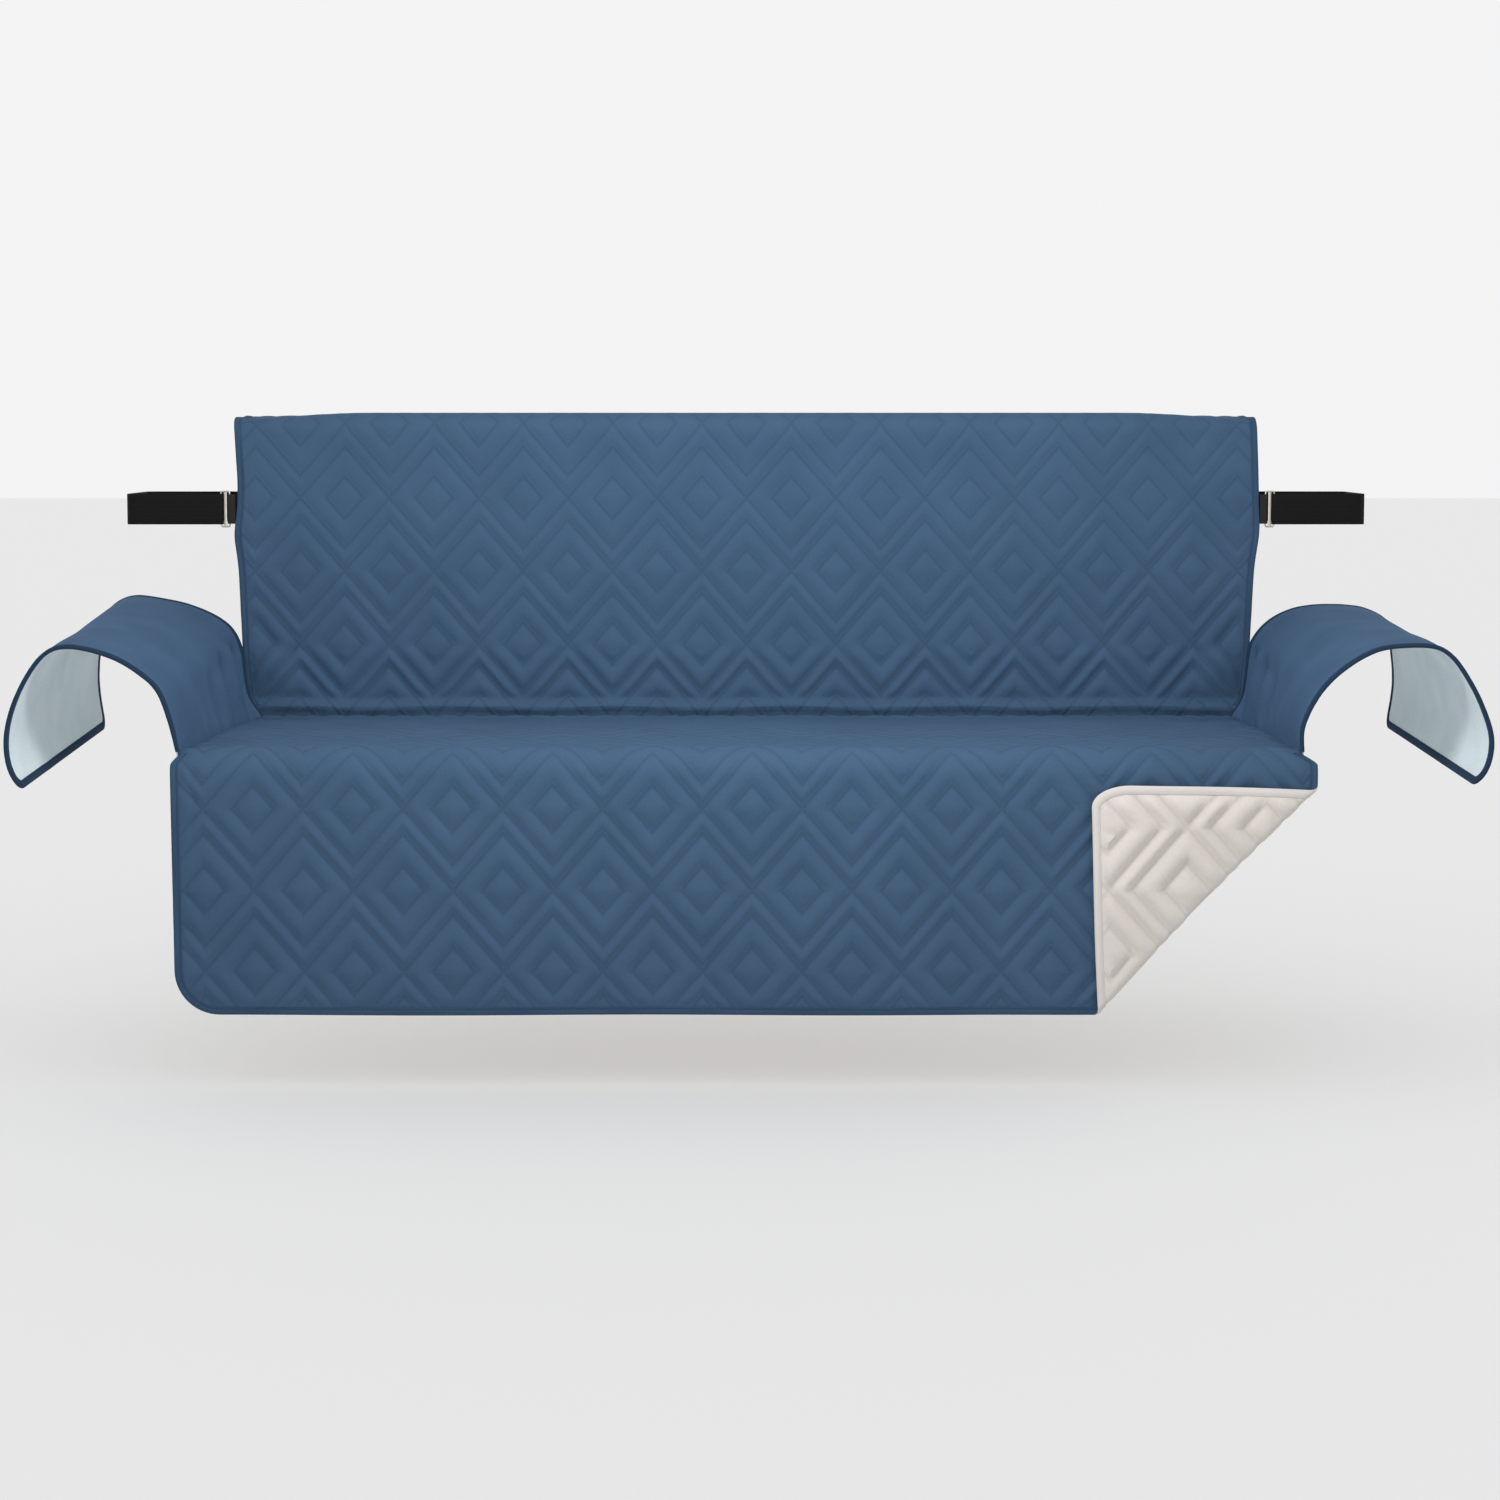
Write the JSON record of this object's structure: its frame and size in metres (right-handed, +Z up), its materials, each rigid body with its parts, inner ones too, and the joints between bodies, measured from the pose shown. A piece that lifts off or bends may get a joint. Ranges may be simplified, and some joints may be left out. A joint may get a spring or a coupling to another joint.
{
  "type": "sofa slipcover",
  "caption": "Quilted sofa slipcover: a panel over back, seat and front with a corner turned up, smooth arm panels, bound edges and an elastic strap held by metal sliders.",
  "frame": {"origin": "under the cloth, at the middle of the flat stretch where the back's top carries it", "axes": "+Z up, the cover's front and apron face -Y, +X to the right of a person who looks at the front"},
  "size_m": [2.1796, 0.8676, 0.8827],
  "materials": {
    "quilted_cloth": "brushed microfibre, matt, quilted in diamonds, off-white on the reverse",
    "arm_cloth": "brushed microfibre, matt, smooth, pale on the reverse",
    "edge_binding": "matt woven tape, stitched",
    "black_elastic": "ribbed woven elastic",
    "black_webbing": "plain woven webbing",
    "slider_metal": "plated, satin"
  },
  "bodies": {
    "root": {"main_panel": "quilted_cloth", "arm_panel_left": "arm_cloth", "arm_panel_right": "arm_cloth", "binding_back": "edge_binding", "binding_apron": "edge_binding", "binding_arm_left": "edge_binding", "binding_arm_right": "edge_binding", "strap": "black_elastic", "slider_left": "slider_metal", "slider_right": "slider_metal", "tab_left": "black_webbing", "tab_right": "black_webbing"}
  },
  "joints": []
}
